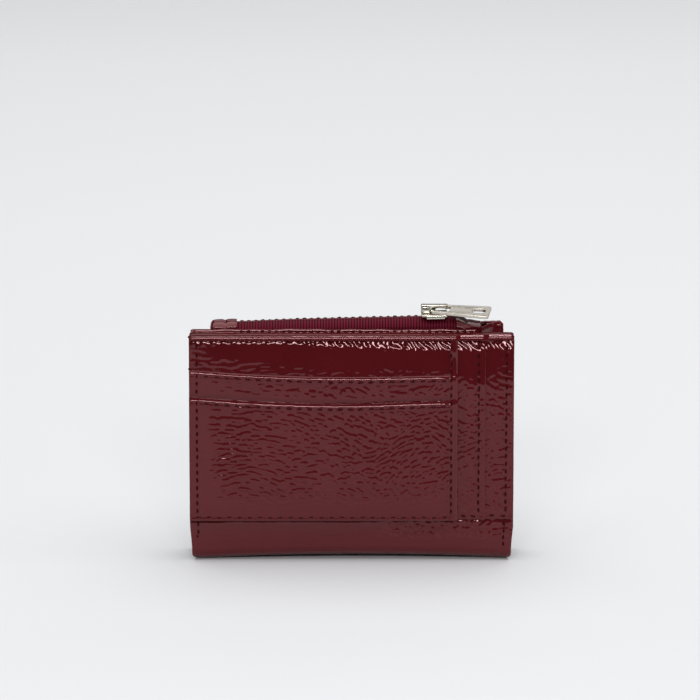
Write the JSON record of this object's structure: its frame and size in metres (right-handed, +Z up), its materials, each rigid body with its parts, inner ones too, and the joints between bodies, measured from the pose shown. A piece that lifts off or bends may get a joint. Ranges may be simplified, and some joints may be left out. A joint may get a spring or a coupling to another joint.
{
  "type": "bifold zip wallet",
  "caption": "Compact bifold wallet in crinkled patent leather, with outside card slots, inner card slots, a press stud and a zip coin pocket along its top.",
  "frame": {"origin": "middle of the flat underside of the spine, at the middle of the whole part's box along the fold and across it", "axes": "+X along the fold, to the right when the outside card slots face the viewer; +Y from the outside card slots towards the front cover; +Z up"},
  "size_m": [0.125, 0.0226, 0.1007],
  "materials": {
    "patent_leather": "crinkled patent, high gloss",
    "lining_fabric": "plain woven, matt",
    "backing_card": "fibre board, matt",
    "zip_tape": "woven tape",
    "zip_coil": "nylon coil",
    "nickel_plate": "polished nickel plate",
    "sewing_thread": "waxed polyester thread"
  },
  "bodies": {
    "spine": {"spine_cover": "patent_leather", "spine_lining": "lining_fabric"},
    "back_leaf": {"back_cover": "patent_leather", "back_board": "backing_card", "back_lining": "lining_fabric", "slot_backing": "patent_leather", "side_slot_panel": "patent_leather", "slot_panel": "patent_leather", "upper_card_slot": "patent_leather", "lower_card_slot": "patent_leather", "slot_binding": "patent_leather", "back_top_binding": "patent_leather", "pocket_near_wall": "patent_leather", "pocket_far_wall": "patent_leather", "pocket_left_gusset": "lining_fabric", "pocket_right_gusset": "lining_fabric", "pocket_base": "lining_fabric", "zip_tape_near": "zip_tape", "zip_tape_far": "zip_tape", "coil_near": "zip_coil", "coil_far": "zip_coil", "zip_tab_left": "patent_leather", "zip_tab_right": "patent_leather", "zip_top_stops": "nickel_plate", "zip_bottom_stop": "nickel_plate", "snap_stud": "nickel_plate", "snap_post": "nickel_plate", "back_top_stitches": "sewing_thread", "back_side_stitches": "sewing_thread", "bottom_seam_stitches": "sewing_thread", "slot_edge_stitches": "sewing_thread", "zip_seam_stitches": "sewing_thread"},
    "slider": {"slider_body": "nickel_plate", "slider_cap": "nickel_plate"},
    "puller": {"puller": "nickel_plate"},
    "front_leaf": {"front_cover": "patent_leather", "front_board": "backing_card", "front_lining": "lining_fabric", "inner_slot_top": "patent_leather", "inner_slot_middle": "patent_leather", "inner_slot_bottom": "patent_leather", "front_top_binding": "patent_leather", "snap_cap": "nickel_plate", "snap_socket": "nickel_plate", "front_stitches": "sewing_thread"}
  },
  "joints": [
    {"name": "back_fold", "type": "hinge", "parent": "spine", "child": "back_leaf", "pos_m": [0, -0.00659, 0.00141], "axis": [1, 0, 0], "range_deg": [0, 90]},
    {"name": "front_fold", "type": "hinge", "parent": "spine", "child": "front_leaf", "pos_m": [0, 0.00809, 0.00141], "axis": [-1, 0, 0], "range_deg": [0, 90]},
    {"name": "slider_travel", "type": "slide", "parent": "back_leaf", "child": "slider", "axis": [0.9997, 0, 0.0253], "range_m": [-0.07, 0], "deforming": ["coil_near", "coil_far"]},
    {"name": "puller_flip", "type": "hinge", "parent": "slider", "child": "puller", "pos_m": [0.03151, -0.0005, 0.0986], "axis": [-0.1736, -0.9848, -0.0044], "range_deg": [0, 165]}
  ]
}
